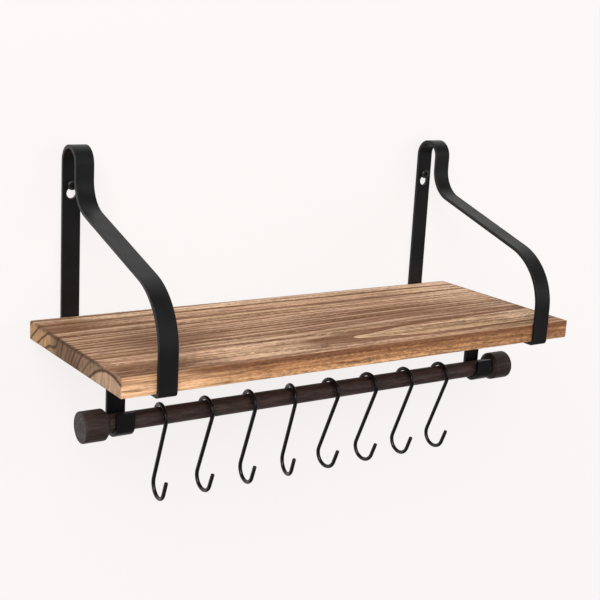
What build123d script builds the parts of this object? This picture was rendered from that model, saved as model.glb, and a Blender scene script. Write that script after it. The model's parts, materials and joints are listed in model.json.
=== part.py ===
from build123d import *
import os
from math import acos, asin, atan, atan2, cos, degrees, hypot, radians, sin, tan

os.makedirs("parts", exist_ok=True)

# Frame: X along the board to the right, Y = 0 on the wall with the shelf on the -Y side, Z up.
# The origin lies on the wall, midway between the axes of the two wall screws.

# Board
board_length = 420.0
board_depth = 165.0
board_thickness = 15.0
board_edge_round = 1.0  # the strap's bends follow it
board_play = 0.25  # between the board and the strap, behind it and in front of it

# Strap brackets
bracket_spacing = 352.0  # from strap centre to strap centre
strap_width = 15.0
strap_thickness = 3.0
strap_edge_round = 0.4
screw_above_board = 105.0  # from the board's top to the wall screws' axes
loop_top_above_screw = 32.5
loop_width = 28.0  # over the strap's two outer faces
neck_length = 11.0
neck_bend_radius = 25.5  # to the middle of the strap, as the next one
shoulder_radius = 48.5
shoulder_above_board = 13.5  # where the front leg starts, above the board's top
lip_length = 28.0  # under the board, from the strap's front face
tail_front = 90.0  # from the wall to the front face of the tail
cradle_front_rise = 9.5  # the cradle's front end above the rod's axis

# Keyhole in each wall leg
keyhole_gap = 0.5  # over the screw's head in the round hole, and over its shank in the slot
keyhole_drop = 6.4  # from the screw's axis to the round hole's centre

# Wall screws
wall_screw_diameter = 4.0
wall_screw_neck_diameter = 3.2  # the plain neck in the strap
wall_screw_reach = 37.0  # into the wall
wall_screw_point = 5.0
wall_screw_tip_diameter = 0.8
wall_screw_head_diameter = 8.0
wall_screw_head_height = 2.6
wall_screw_head_round = 1.6
recess_length = 4.2
recess_width = 1.0
recess_depth = 1.3

# Board screws, up through the lips and the rear runs
board_screw_diameter = 3.0
board_screw_head_diameter = 5.8
board_screw_reach = 10.0  # into the board
board_screw_point = 2.5
lip_screw_inset = 13.0  # from the strap's front face
rear_screw_inset = 45.0  # from the wall
countersink_angle = 90.0

# Rod and its end caps
rod_diameter = 14.0
rod_below_board = 58.2  # from the board's top to the rod's axis
cradle_gap = 0.3
cap_gap = 4.5  # between each cap and the strap's edge
cap_diameter = 24.0
cap_length = 20.0
cap_inner_chamfer = 2.6
cap_outer_round = 1.2
cap_screw_diameter = 5.0
cap_screw_in_rod = 16.0
cap_screw_in_cap = 13.0
cap_screw_point = 3.0

# Hooks
wire_diameter = 3.2
hook_play = 1.4  # the inside radius of both curls over the rod's radius
hook_drop = 55.8  # between the centres of the two curls
hook_tip_length = 12.0  # the straight stretch past each half turn
hook_tip_round = 0.9
hook_seat_gap = 0.3
first_hook_room = 26.0  # from the left strap's inner edge
last_hook_room = 36.5  # from the right strap's inner edge
hook_turns = (-3.0, 2.0, -2.0, -9.0, 8.0, 9.0, 5.0, 6.0)  # about the upright, degrees

# Screws and dowels in their pilot holes
pilot_gap = 0.05

# Places worked out from the sizes
board_top_z = -screw_above_board
board_bottom_z = board_top_z - board_thickness
board_back_y = -strap_thickness - board_play
board_front_y = board_back_y - board_depth
front_face_y = board_front_y - board_play - strap_thickness
lip_bottom_z = board_bottom_z - strap_thickness
bracket_x = bracket_spacing / 2
half_strap = strap_thickness / 2
corner_radius = board_edge_round + half_strap
rod_radius = rod_diameter / 2
cradle_radius = rod_radius + cradle_gap + half_strap
rod_y = -tail_front - cradle_gap - rod_radius
rod_z = board_top_z - rod_below_board
rod_length = bracket_spacing + strap_width + 2 * cap_gap
lip_screw_y = front_face_y + lip_screw_inset
rear_screw_y = -rear_screw_inset
sides = {"left": -1, "right": 1}

# Board, with pilot holes for its four screws
with BuildPart() as board:
    with BuildSketch(Plane.XY.offset(board_bottom_z)):
        with Locations((0, (board_back_y + board_front_y) / 2)):
            Rectangle(board_length, board_depth)
    extrude(amount=board_thickness)
    fillet(board.edges(), radius=board_edge_round)
    with BuildSketch(Plane.XY.offset(board_bottom_z)):
        with Locations(*[(s * bracket_x, y) for s in sides.values() for y in (lip_screw_y, rear_screw_y)]):
            Circle(board_screw_diameter / 2 + pilot_gap)
    extrude(amount=board_screw_reach + pilot_gap, mode=Mode.SUBTRACT)
board.part.label = "board"
export_step(board.part, "parts/board.step")

# Brackets, each one strap bent along the path that runs down its middle
loop_radius = (loop_width - strap_thickness) / 2
loop_centre_z = loop_top_above_screw - loop_width / 2
run_z = board_bottom_z - half_strap
tail_y = -tail_front + half_strap

# The straight arm touches the neck's bend from below and the shoulder's bend from above
neck_centre_y = -half_strap - 2 * loop_radius - neck_bend_radius
shoulder_centre_y = front_face_y + half_strap + shoulder_radius
bend_across = neck_centre_y - shoulder_centre_y
bend_fall = loop_centre_z - neck_length - (board_top_z + shoulder_above_board)
bend_distance = hypot(bend_across, bend_fall)
arm_slope = acos((neck_bend_radius + shoulder_radius) / bend_distance) - atan2(bend_across, bend_fall)
arm_length = bend_across * cos(arm_slope) + bend_fall * sin(arm_slope)
arm_turn = 90 - degrees(arm_slope)

# Keyhole and countersink sizes follow the screws
keyhole_radius = (wall_screw_head_diameter + keyhole_gap) / 2
keyhole_slot_width = wall_screw_diameter + keyhole_gap

for side, sign in sides.items():
    strap_x = sign * bracket_x
    with BuildPart() as bracket:
        with BuildSketch(Plane.YZ.offset(strap_x - strap_width / 2)):
            with BuildLine():
                loop = JernArc((-half_strap, loop_centre_z), (0, 1), loop_radius, 180)
                neck = Line(loop @ 1, (loop @ 1) - (0, neck_length))
                neck_bend = JernArc(neck @ 1, (0, -1), neck_bend_radius, -arm_turn)
                arm = PolarLine(neck_bend @ 1, arm_length, 180 + degrees(arm_slope))
                shoulder = JernArc(arm @ 1, arm % 1, shoulder_radius, arm_turn)
                front_leg = Line(shoulder @ 1, (front_face_y + half_strap, run_z + corner_radius))
                front_corner = JernArc(front_leg @ 1, (0, -1), corner_radius, 90)
                Line(front_corner @ 1, (front_face_y + lip_length, run_z))
                wall_leg = Line(loop @ 0, (-half_strap, run_z + corner_radius))
                rear_corner = JernArc(wall_leg @ 1, (0, -1), corner_radius, -90)
                rear_run = Line(rear_corner @ 1, (tail_y + corner_radius, run_z))
                tail_corner = JernArc(rear_run @ 1, (-1, 0), corner_radius, 90)
                tail = Line(tail_corner @ 1, (tail_y, rod_z))
                cradle = JernArc(tail @ 1, (0, -1), cradle_radius, -180)
                Line(cradle @ 1, (cradle @ 1) + (0, cradle_front_rise))
            trace(line_width=strap_thickness)
        extrude(amount=strap_width)
        rims = bracket.faces().filter_by(Axis.X).edges()
        fillet(rims, radius=strap_edge_round)
        with BuildSketch(Plane.XZ):
            with Locations((strap_x, 0)):
                Circle(keyhole_slot_width / 2)
            with Locations((strap_x, -keyhole_drop / 2)):
                Rectangle(keyhole_slot_width, keyhole_drop)
            with Locations((strap_x, -keyhole_drop)):
                Circle(keyhole_radius)
        extrude(amount=strap_thickness, mode=Mode.SUBTRACT)
        underside = Plane(origin=(strap_x, 0, lip_bottom_z), x_dir=(1, 0, 0), z_dir=(0, 0, -1))
        with Locations(underside):
            with Locations((0, -lip_screw_y), (0, -rear_screw_y)):
                CounterSinkHole(
                    board_screw_diameter / 2 + pilot_gap,
                    board_screw_head_diameter / 2 + pilot_gap,
                    strap_thickness,
                    countersink_angle,
                )
    bracket.part.label = "bracket_" + side
    export_step(bracket.part, "parts/bracket_" + side + ".step")

# Wall screws, with a domed head in front of the strap, a neck in its slot and the shank in the wall
wall_screw_taper = degrees(atan((wall_screw_diameter - wall_screw_tip_diameter) / 2 / wall_screw_point))
for side, sign in sides.items():
    with BuildPart() as wall_screw:
        head_plane = Plane.XZ.offset(strap_thickness)
        with BuildSketch(head_plane):
            with Locations((sign * bracket_x, 0)):
                Circle(wall_screw_head_diameter / 2)
        extrude(amount=wall_screw_head_height)
        fillet(wall_screw.edges().group_by(Axis.Y)[0], radius=wall_screw_head_round)
        with BuildSketch(head_plane.offset(wall_screw_head_height)):
            with Locations((sign * bracket_x, 0)):
                Rectangle(recess_length, recess_width)
                Rectangle(recess_width, recess_length)
        extrude(amount=-recess_depth, mode=Mode.SUBTRACT)
        with BuildSketch(head_plane):
            with Locations((sign * bracket_x, 0)):
                Circle(wall_screw_neck_diameter / 2)
        extrude(amount=-strap_thickness)
        with BuildSketch(Plane.XZ):
            with Locations((sign * bracket_x, 0)):
                Circle(wall_screw_diameter / 2)
        extrude(amount=wall_screw_point - wall_screw_reach)
        with BuildSketch(Plane.XZ.offset(wall_screw_point - wall_screw_reach)):
            with Locations((sign * bracket_x, 0)):
                Circle(wall_screw_diameter / 2)
        extrude(amount=-wall_screw_point, taper=wall_screw_taper)
    wall_screw.part.label = "wall_screw_" + side
    export_step(wall_screw.part, "parts/wall_screw_" + side + ".step")

# Board screws, flush in the strap's underside
head_cone = (board_screw_head_diameter - board_screw_diameter) / 2 / tan(radians(countersink_angle / 2))
for place, screw_y in {"front": lip_screw_y, "rear": rear_screw_y}.items():
    with BuildPart() as board_screws:
        for sign in sides.values():
            axis_plane = Plane.XZ.offset(-screw_y)
            with BuildSketch(axis_plane):
                with BuildLine():
                    axis_x = sign * bracket_x
                    tip_z = board_bottom_z + board_screw_reach
                    Polyline(
                        (axis_x, lip_bottom_z),
                        (axis_x + board_screw_head_diameter / 2, lip_bottom_z),
                        (axis_x + board_screw_diameter / 2, lip_bottom_z + head_cone),
                        (axis_x + board_screw_diameter / 2, tip_z - board_screw_point),
                        (axis_x, tip_z),
                        close=True,
                    )
                make_face()
            revolve(axis=Axis((axis_x, screw_y, 0), (0, 0, 1)))
    board_screws.part.label = "board_screws_" + place
    export_step(board_screws.part, "parts/board_screws_" + place + ".step")

# Rod, with a pilot hole in each end
with BuildPart() as rod:
    with BuildSketch(Plane.YZ.offset(-rod_length / 2)):
        with Locations((rod_y, rod_z)):
            Circle(rod_radius)
    extrude(amount=rod_length)
    for sign in sides.values():
        with BuildSketch(Plane.YZ.offset(sign * rod_length / 2)):
            with Locations((rod_y, rod_z)):
                Circle(cap_screw_diameter / 2 + pilot_gap)
        extrude(amount=-sign * (cap_screw_in_rod + pilot_gap), mode=Mode.SUBTRACT)
rod.part.label = "rod"
export_step(rod.part, "parts/rod.step")

# End caps and the double-ended screws that join them to the rod
for side, sign in sides.items():
    joint_x = sign * rod_length / 2
    joint_plane = Plane.YZ.offset(joint_x)
    with BuildPart() as end_cap:
        with BuildSketch(joint_plane):
            with Locations((rod_y, rod_z)):
                Circle(cap_diameter / 2)
        extrude(amount=sign * cap_length)
        rims = end_cap.edges().filter_by(GeomType.CIRCLE).sort_by_distance((joint_x, rod_y, rod_z))
        chamfer(rims[0], length=cap_inner_chamfer)
        fillet(rims[1], radius=cap_outer_round)
        with BuildSketch(joint_plane):
            with Locations((rod_y, rod_z)):
                Circle(cap_screw_diameter / 2 + pilot_gap)
        extrude(amount=sign * (cap_screw_in_cap + pilot_gap), mode=Mode.SUBTRACT)
    end_cap.part.label = "end_cap_" + side
    export_step(end_cap.part, "parts/end_cap_" + side + ".step")

    with BuildPart() as cap_screw:
        with BuildSketch(Plane.XY.offset(rod_z)):
            with BuildLine():
                inner_x = joint_x - sign * cap_screw_in_rod
                outer_x = joint_x + sign * cap_screw_in_cap
                side_y = rod_y + cap_screw_diameter / 2
                Polyline(
                    (inner_x, rod_y),
                    (inner_x + sign * cap_screw_point, side_y),
                    (outer_x - sign * cap_screw_point, side_y),
                    (outer_x, rod_y),
                    close=True,
                )
            make_face()
        revolve(axis=Axis((joint_x, rod_y, rod_z), (1, 0, 0)))
    cap_screw.part.label = "cap_screw_" + side
    export_step(cap_screw.part, "parts/cap_screw_" + side + ".step")

# Hooks, each one wire bent into an S: the upper curl hangs on the rod and the lower one opens forward
hook_bend_radius = rod_radius + hook_play + wire_diameter / 2  # to the middle of the wire
hook_centre_z = rod_z + rod_radius + hook_seat_gap + wire_diameter / 2 - hook_bend_radius
first_hook_x = first_hook_room - bracket_x + strap_width / 2
last_hook_x = bracket_x - strap_width / 2 - last_hook_room
hook_pitch = (last_hook_x - first_hook_x) / (len(hook_turns) - 1)
shank_lean = asin(2 * hook_bend_radius / hook_drop)
tip_across = hook_tip_length * sin(shank_lean)
tip_up = hook_tip_length * cos(shank_lean)
curl_side = hook_bend_radius * cos(shank_lean)
curl_rise = hook_bend_radius * sin(shank_lean)

for number, turn in enumerate(hook_turns, start=1):
    hook_x = first_hook_x + (number - 1) * hook_pitch
    turn_sine = sin(radians(turn))
    turn_cosine = cos(radians(turn))
    hook_plane = Plane(
        origin=(hook_x, rod_y, hook_centre_z),
        x_dir=(-turn_sine, turn_cosine, 0),
        z_dir=(turn_cosine, turn_sine, 0),
    )
    with BuildPart() as hook:
        with BuildLine(hook_plane) as wire:
            upper_tip = Line((curl_side + tip_across, curl_rise - tip_up), (curl_side, curl_rise))
            upper_curl = JernArc(upper_tip @ 1, (-tip_across, tip_up), hook_bend_radius, 180)
            shank = Line(upper_curl @ 1, (curl_side, curl_rise - hook_drop))
            lower_curl = JernArc(shank @ 1, (tip_across, -tip_up), hook_bend_radius, -180)
            Line(lower_curl @ 1, (-curl_side - tip_across, tip_up - curl_rise - hook_drop))
        with BuildSketch(Plane(origin=wire.line @ 0, z_dir=wire.line % 0)):
            Circle(wire_diameter / 2)
        sweep()
        tips = hook.faces().filter_by(GeomType.PLANE).edges()
        fillet(tips, radius=hook_tip_round)
    hook.part.label = "hook_" + str(number)
    export_step(hook.part, "parts/hook_" + str(number) + ".step")
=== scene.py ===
"""A wall shelf: a torched board in two strap brackets, with a stained rod and wire hooks under it."""
import json
import math
from functools import reduce
from types import SimpleNamespace

import bmesh
import bpy
import numpy as np
from bpy.props import FloatProperty, FloatVectorProperty, IntProperty, PointerProperty
from bpy.types import Operator, Panel, PropertyGroup
from mathutils import Matrix, Vector


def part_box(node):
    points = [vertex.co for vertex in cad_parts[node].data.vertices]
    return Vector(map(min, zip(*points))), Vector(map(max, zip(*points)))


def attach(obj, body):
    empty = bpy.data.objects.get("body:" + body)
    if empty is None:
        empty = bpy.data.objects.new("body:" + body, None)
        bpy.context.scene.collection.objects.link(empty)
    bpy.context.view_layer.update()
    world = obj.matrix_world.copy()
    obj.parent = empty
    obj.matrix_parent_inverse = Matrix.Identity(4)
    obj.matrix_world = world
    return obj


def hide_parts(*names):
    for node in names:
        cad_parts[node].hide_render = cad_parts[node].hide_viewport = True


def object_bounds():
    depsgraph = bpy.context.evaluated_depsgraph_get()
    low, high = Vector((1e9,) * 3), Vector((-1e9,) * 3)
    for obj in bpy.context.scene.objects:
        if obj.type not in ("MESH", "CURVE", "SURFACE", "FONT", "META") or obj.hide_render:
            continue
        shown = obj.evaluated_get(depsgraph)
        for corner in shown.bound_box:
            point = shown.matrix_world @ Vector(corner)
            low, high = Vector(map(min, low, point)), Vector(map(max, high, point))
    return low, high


bl_info = {
    "name": "Strap Bracket Shelf",
    "version": (1, 0, 0),
    "blender": (4, 5, 0),
    "location": "View3D > Sidebar > Shelf",
    "description": "Dresses a wall shelf: torched board, strap brackets, stained rod, wire hooks and screws",
    "category": "Object",
}

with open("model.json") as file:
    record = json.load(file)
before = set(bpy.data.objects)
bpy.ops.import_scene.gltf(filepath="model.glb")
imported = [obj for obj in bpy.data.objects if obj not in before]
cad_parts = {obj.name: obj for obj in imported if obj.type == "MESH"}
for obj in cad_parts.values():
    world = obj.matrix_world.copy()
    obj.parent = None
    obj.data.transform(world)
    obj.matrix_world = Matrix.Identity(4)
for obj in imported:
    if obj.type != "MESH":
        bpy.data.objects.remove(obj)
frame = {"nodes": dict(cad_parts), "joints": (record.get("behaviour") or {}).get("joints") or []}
CAD_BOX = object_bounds()
MM = 0.001
PER_METRE = 1000.0
UP = Vector((0.0, 0.0, 1.0))
SIDES = {"left": -1, "right": 1}
HOOK_JOINTS = [joint for joint in frame["joints"] if joint["name"].startswith("hook_")]

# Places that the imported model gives
BOARD_LOW, BOARD_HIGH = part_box("board")
STRAP_LOW, STRAP_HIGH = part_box("bracket_right")
ROD_LOW, ROD_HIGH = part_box("rod")
CAP_LOW, CAP_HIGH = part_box("end_cap_right")
WALL_SCREW_LOW, WALL_SCREW_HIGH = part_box("wall_screw_right")
ROD_AXIS = (ROD_LOW + ROD_HIGH) / 2
ROD_RADIUS = (ROD_HIGH.z - ROD_LOW.z) / 2
STRAP_X = (STRAP_LOW.x + STRAP_HIGH.x) / 2

# How finely the shapes are divided, with angles in degrees
BOARD_CELLS = (3.4 * MM, 0.62 * MM, 0.9 * MM)  # along the board, across it and through it
RIM_ANGLES = (15.0, 30.0, 45.0)  # round the board's eased edges, on each side of an arris
CORNER_ANGLES = (0.0, 22.5, 45.0, 67.5, 90.0)  # round the flat bar's long edges
CORNER_WEAR = (0.0, 0.5, 1.0, 1.0, 1.0, 0.5, 0.0)  # of those points and of one more on each side
TIP_ANGLES = (0.0, 18.0, 36.0, 54.0, 72.0)  # round a wire's tip
TIP_CLEARANCE = 1.15  # how many rounds of the tip the next point of the wire keeps away
WORN_POINTS = 9  # from a wire's tip to where its wear ends
RUN_STEP = 6 * MM
BEND_STEP = 4.5
LEAST_BEND_STEPS = 6
ROD_STEPS = 60
SLOT_STEPS = 16  # round the end of a keyhole's slot
KEYHOLE_STEPS = 40  # round its wide part
HEAD_STEPS = 8  # round the rim of a screw's head
COVE_STEPS = 12
TURNED_SIDES = 72
SCREW_SIDES = 40
HOLE_SIDES = 32
THREAD_STEPS = 8  # in one turn of a thread
RIDGE_SHARE = 0.28  # of the pitch, from a thread's crest to its foot
SHARP_ANGLE = math.radians(50.0)
FLAT_WEIGHT = 80  # how much the flat faces count in the shading
MERGE_DISTANCE = 1e-7
TINY = 1e-6


def paint(red, green, blue):
    """The linear colour that a shader takes, from a colour as it looks on screen, 0 to 255."""
    shares = [value / 255 for value in (red, green, blue)]
    return tuple(s / 12.92 if s <= 0.04045 else ((s + 0.055) / 1.055) ** 2.4 for s in shares) + (1.0,)


def number(name, default, description, **options):
    """A number that a user may change."""
    return FloatProperty(name=name, description=description, default=default, **options)


def length(name, default, description):
    """A length that a user may change, in metres."""
    return number(name, default, description, min=0.0, precision=5, subtype="DISTANCE", unit="LENGTH")


def colour(name, default, description):
    """A colour that a user may change."""
    return FloatVectorProperty(
        name=name, description=description, default=default, size=4, min=0.0, max=1.0, subtype="COLOR",
    )


def place(name, default, description):
    """A point in the shelf's frame that a user may change, in metres."""
    return FloatVectorProperty(
        name=name, description=description, default=default, size=3, precision=5,
        subtype="TRANSLATION", unit="LENGTH",
    )


class BoardSettings(PropertyGroup):
    """The torched board."""

    edge_round: length("Edge Round", 1.0 * MM, "Radius of the eased edges")
    grain_relief: length("Grain Relief", 0.16 * MM, "Depth to which the brush has cut the grain")
    heart_in: length("Heart In", 146.0 * MM, "From the board's back edge to the log's heart, at the left end")
    heart_drift: number("Heart Drift", 0.032, "How far the heart nears the back for each unit to the right")
    heart_below: length("Heart Below", 33.5 * MM, "From the underside down to the heart, at the left end")
    heart_rise: number("Heart Rise", 0.004, "How far the heart climbs for each unit to the right")
    heart_lift: length("Heart Lift", 3.3 * MM, "What the heart climbs more about the board's middle")
    ring_first: length("First Ring", 46.0 * MM, "Radius of the first dark ring line")
    ring_spacing: length("Ring Spacing", 9.0 * MM, "Between strong ring lines")
    tan: colour("Tan", paint(208, 165, 135), "The board's plain face")
    olive: colour("Olive", paint(190, 154, 116), "Layers that browned less red")
    peach: colour("Peach", paint(230, 193, 160), "The pale strip along the back, and pale lines")
    brown: colour("Brown", paint(122, 86, 62), "Where the torch stayed longer")
    ring_brown: colour("Ring Brown", paint(112, 67, 36), "The ring lines")
    edge_yellow: colour("Edge Yellow", paint(238, 190, 146), "The front edge's palest layers")
    edge_orange: colour("Edge Orange", paint(172, 124, 85), "The front edge's middle layers")
    edge_brown: colour("Edge Brown", paint(122, 82, 56), "The front edge's scorched layers")
    end_honey: colour("End Honey", paint(192, 150, 108), "Pale end grain")
    end_brown: colour("End Brown", paint(126, 97, 76), "Dense end grain")
    end_pale: colour("End Pale", paint(196, 161, 131), "End grain inside the first ring")
    char: colour("Char", paint(68, 44, 29), "Burnt arrises and the ring lines on the ends")


class BracketSettings(PropertyGroup):
    """The two strap brackets."""

    strap_width: length("Strap Width", STRAP_HIGH.x - STRAP_LOW.x, "Width of the flat bar")
    strap_thickness: length("Strap Thickness", 3.0 * MM, "Thickness of the flat bar")
    edge_round: length("Edge Round", 0.4 * MM, "Radius of the bar's long edges")
    rim_round: length("Rim Round", 0.2 * MM, "Width of the small bevel on ends and holes")
    corner_round: length("Corner Round", 1.0 * MM, "Inside radius of the corners round the board")
    loop_width: length("Loop Width", 28.0 * MM, "Over the loop's two outer faces")
    neck_length: length("Neck", 11.0 * MM, "Straight stretch in front of the loop")
    neck_bend_radius: length("Neck Bend", 25.5 * MM, "To the middle of the bar")
    shoulder_radius: length("Shoulder", 48.5 * MM, "To the middle of the bar")
    shoulder_above_board: length("Shoulder Above Board", 13.5 * MM, "Where the front leg starts")
    lip_length: length("Lip", 28.0 * MM, "Under the board, from the front face")
    tail_front: length("Tail Front", 90.0 * MM, "From the wall to the front face of the tail")
    cradle_gap: length("Cradle Gap", 0.3 * MM, "Between the rod and its cradle")
    cradle_front_rise: length("Cradle Rise", 9.5 * MM, "The cradle's front end above the rod's axis")
    keyhole_radius: length("Keyhole Radius", 4.25 * MM, "The keyhole's round part")
    keyhole_slot_width: length("Keyhole Slot", 4.5 * MM, "Width of the keyhole's slot")
    keyhole_drop: length("Keyhole Drop", 6.4 * MM, "From the screw's axis to the round part's centre")
    coat: colour("Coat", paint(17, 17, 18), "Black powder coat")
    # painted edge sheen: this paler coat along the straps' edges stands for the light that the edges catch
    edge_sheen: colour("Edge Sheen", paint(46, 46, 48), "Powder coat along the edges")


class RodSettings(PropertyGroup):
    """The towel rod and its end caps."""

    cap_inner_chamfer: length("Inner Chamfer", 2.6 * MM, "Chamfer on the side of the cap that meets the rod")
    cap_outer_round: length("Outer Round", 1.2 * MM, "Radius of the cap's outer rim")
    soft_edge: length("Soft Edge", 0.3 * MM, "Rounding of the turned edges")
    stain: colour("Stain", paint(68, 52, 49), "Dark stain")
    stain_deep: colour("Deep Stain", paint(18, 12, 12), "Stain in the pores")
    stain_pale: colour("Pale Stain", paint(72, 63, 62), "Stain on end grain and rims")


class HookSettings(PropertyGroup):
    """The wire hooks."""

    wire_diameter: length("Wire", 3.2 * MM, "Diameter of the wire")
    bend_radius: length("Bend Radius", 10.0 * MM, "Of both curls, to the middle of the wire")
    drop: length("Drop", 55.8 * MM, "Between the centres of the two curls")
    tip_length: length("Tip", 12.0 * MM, "The straight stretch past each half turn")
    tip_round: length("Tip Round", 0.9 * MM, "Radius of the rounded tips")
    sides: IntProperty(name="Sides", description="Faces round the wire", default=20, min=8)
    lacquer: colour("Lacquer", paint(9, 8, 8), "Black lacquer")
    lacquer_worn: colour("Worn Lacquer", paint(44, 42, 40), "Lacquer where it rubs")


class ScrewSettings(PropertyGroup):
    """The wall screws and the small screws under the board."""

    head_height: length("Head Height", 2.6 * MM, "Of the wall screws' heads")
    head_round: length("Head Round", 1.6 * MM, "Radius of the heads' rims")
    neck_diameter: length("Neck", 3.2 * MM, "Plain neck in the strap")
    shank_diameter: length("Shank", 4.0 * MM, "Over the wall screws' threads")
    thread_depth: length("Thread Depth", 0.5 * MM, "Of the wall screws")
    thread_pitch: length("Thread Pitch", 1.8 * MM, "Of the wall screws")
    point: length("Point", 5.0 * MM, "Length of the wall screws' points")
    tip_diameter: length("Tip", 0.8 * MM, "Diameter of the wall screws' tips")
    recess_length: length("Recess Length", 4.2 * MM, "Across the drive's cross")
    recess_width: length("Recess Width", 1.0 * MM, "Of each arm of the cross")
    recess_depth: length("Recess Depth", 1.3 * MM, "Of the cross")
    board_shank_diameter: length("Board Shank", 3.0 * MM, "Of the small screws")
    board_head_diameter: length("Board Head", 5.8 * MM, "Of the small screws' countersunk heads")
    board_point: length("Board Point", 2.5 * MM, "Length of the small screws' points")
    board_recess: number("Board Recess", 0.62, "Across the small screws' cross, as a share of their heads")
    oxide: colour("Oxide", paint(10, 10, 10), "Black oxide")
    bare_steel: colour("Bare Steel", paint(150, 148, 146), "Steel where the oxide has worn")
    zinc: colour("Zinc", paint(196, 198, 202), "Zinc plate on the hidden cap screws")


class StageSettings(PropertyGroup):
    """Wall, floor, lamps and camera."""

    camera_place: place("Camera", (-0.54098, -0.85990, 0.13361), "Where the camera stands")
    camera_aim: place("Aim", (-0.02277, -0.10000, -0.08270), "What the middle of the picture shows")
    camera_roll: number("Roll", math.radians(3.196), "Turn of the camera about its view", subtype="ANGLE")
    camera_lens: number("Lens", 71.33, "Focal length on a 36 mm sensor", unit="CAMERA")
    wall_gap: length("Wall Gap", 0.5 * MM, "Between the wall and the straps' backs")
    floor_drop: length("Floor Drop", 0.62, "From the wall screws down to the floor")
    room_half: length("Half Room", 6.0, "Half the wall's length")
    cove: length("Cove", 0.12, "Radius between floor and wall")
    wall_colour: colour("Wall", paint(250, 247, 246), "The wall and floor")
    wall_glow: number("Wall Glow", 0.87, "Share of the wall that shows no shadow")
    key_place: place("Key Place", (-1.25, -1.75, 1.45), "Where the key lamp hangs, at the upper left")
    key_size: length("Key Size", 1.5, "Side of the key lamp")
    key_power: number("Key Power", 52.0, "Power of the key lamp", unit="POWER")
    fill_place: place("Fill Place", (1.5, -1.9, 0.35), "Where the fill lamp hangs, at the right")
    fill_size: length("Fill Size", 1.6, "Side of the fill lamp")
    fill_power: number("Fill Power", 16.0, "Power of the fill lamp", unit="POWER")
    sky: number("Sky", 0.5, "Even light from all round", min=0.0)
    room_low: number("Room Low", 0.2, "What gloss shows of the room in front")
    room_high: number("Room High", 0.22, "What gloss shows of the room above")
    room_window: number("Window", 0.8, "What a window in front adds to gloss")


class Graph:
    """A node tree with short calls for the nodes that the materials and the geometry trees share."""

    def __init__(self, tree):
        self.tree = tree

    def put(self, kind, inputs=None, **settings):
        """Adds a node with its properties and its named or numbered inputs, and gives its outputs."""
        node = self.tree.nodes.new(kind)
        for name, value in settings.items():
            setattr(node, name, value)
        for key, value in (inputs or {}).items():
            self.join(value, node.inputs[key])
        return node.outputs

    def join(self, value, socket):
        """Links a socket to another, or sets its value."""
        if isinstance(value, bpy.types.NodeSocket):
            self.tree.links.new(value, socket)
        else:
            socket.default_value = value

    def math(self, operation, *values):
        return self.put("ShaderNodeMath", dict(enumerate(values)), operation=operation)[0]

    def add(self, *values):
        return reduce(lambda a, b: self.math("ADD", a, b), values)

    def times(self, *values):
        return reduce(lambda a, b: self.math("MULTIPLY", a, b), values)

    def subtract(self, a, b):
        return self.math("SUBTRACT", a, b)

    def most(self, a, b):
        return self.math("MAXIMUM", a, b)

    def vector(self, operation, a, b):
        return self.put("ShaderNodeVectorMath", {0: a, 1: b}, operation=operation)[0]

    def split(self, vector):
        return self.put("ShaderNodeSeparateXYZ", {0: vector})

    def scale(self, vector, factor):
        """A vector made longer or shorter by a factor that changes from point to point."""
        spread = self.put("ShaderNodeCombineXYZ", {0: factor, 1: factor, 2: factor})[0]
        return self.vector("MULTIPLY", vector, spread)

    def in_mm(self, vector):
        return self.vector("MULTIPLY", vector, (PER_METRE,) * 3)

    def fade(self, value, start, end, low=0.0, high=1.0):
        """Goes smoothly from low, where value is start, to high, where it is end."""
        inputs = {"Value": value, 1: start, 2: end, 3: low, 4: high}
        return self.put("ShaderNodeMapRange", inputs, interpolation_type="SMOOTHSTEP")[0]

    def band(self, value, start, end, soft):
        """One between start and end, and nothing outside them."""
        rise = self.fade(value, start - soft, start + soft)
        return self.times(rise, self.fade(value, end + soft, end - soft))

    def noise(self, vector, stretch, detail=2.0, roughness=0.5, output="Fac"):
        """Even noise whose features are one unit long in the stretched coordinates."""
        stretched = self.vector("MULTIPLY", vector, stretch)
        inputs = {"Vector": stretched, "Scale": 1.0, "Detail": detail, "Roughness": roughness}
        return self.put("ShaderNodeTexNoise", inputs)[output]

    def swing(self, vector, stretch, detail=2.0, roughness=0.5):
        """The same noise about nought."""
        return self.subtract(self.noise(vector, stretch, detail, roughness), 0.5)

    def mix(self, share, a, b):
        return self.put("ShaderNodeMix", {0: share, 6: a, 7: b}, data_type="RGBA")[2]

    def shade(self, tint, factor):
        """A colour made lighter or darker by a factor that changes over the surface."""
        return self.scale(tint if isinstance(tint, bpy.types.NodeSocket) else tuple(tint)[:3], factor)


def new_nodes(kind, name, inputs, outputs):
    """A node tree with named sockets, its graph, what its inputs bring and what its outputs take."""
    tree = bpy.data.node_groups.new(name, kind)
    for in_out, sockets in (("INPUT", inputs), ("OUTPUT", outputs)):
        for socket, socket_kind in sockets.items():
            tree.interface.new_socket(socket, in_out=in_out, socket_type="NodeSocket" + socket_kind)
    graph = Graph(tree)
    return tree, graph, graph.put("NodeGroupInput"), tree.nodes.new("NodeGroupOutput").inputs


# Effects that several materials share, as shader groups

EVEN = (1.0, 1.0, 1.0)
SHEEN_PATCHES = (0.05, 0.05, 0.05)
PORES = (2.2, 3.1, 3.1)


def build_grit(name):
    """Fine grit of sprayed or plated metal: a height and a patchy sheen."""
    inputs, outputs = {"Place": "Vector", "Grain": "Float"}, {"Height": "Float", "Sheen": "Float"}
    tree, graph, given, result = new_nodes("ShaderNodeTree", name, inputs, outputs)
    near = graph.scale(given["Place"], given["Grain"])
    graph.join(graph.noise(near, EVEN, 2.0, 0.6), result["Height"])
    graph.join(graph.noise(given["Place"], SHEEN_PATCHES, 3.0), result["Sheen"])
    return tree


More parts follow.
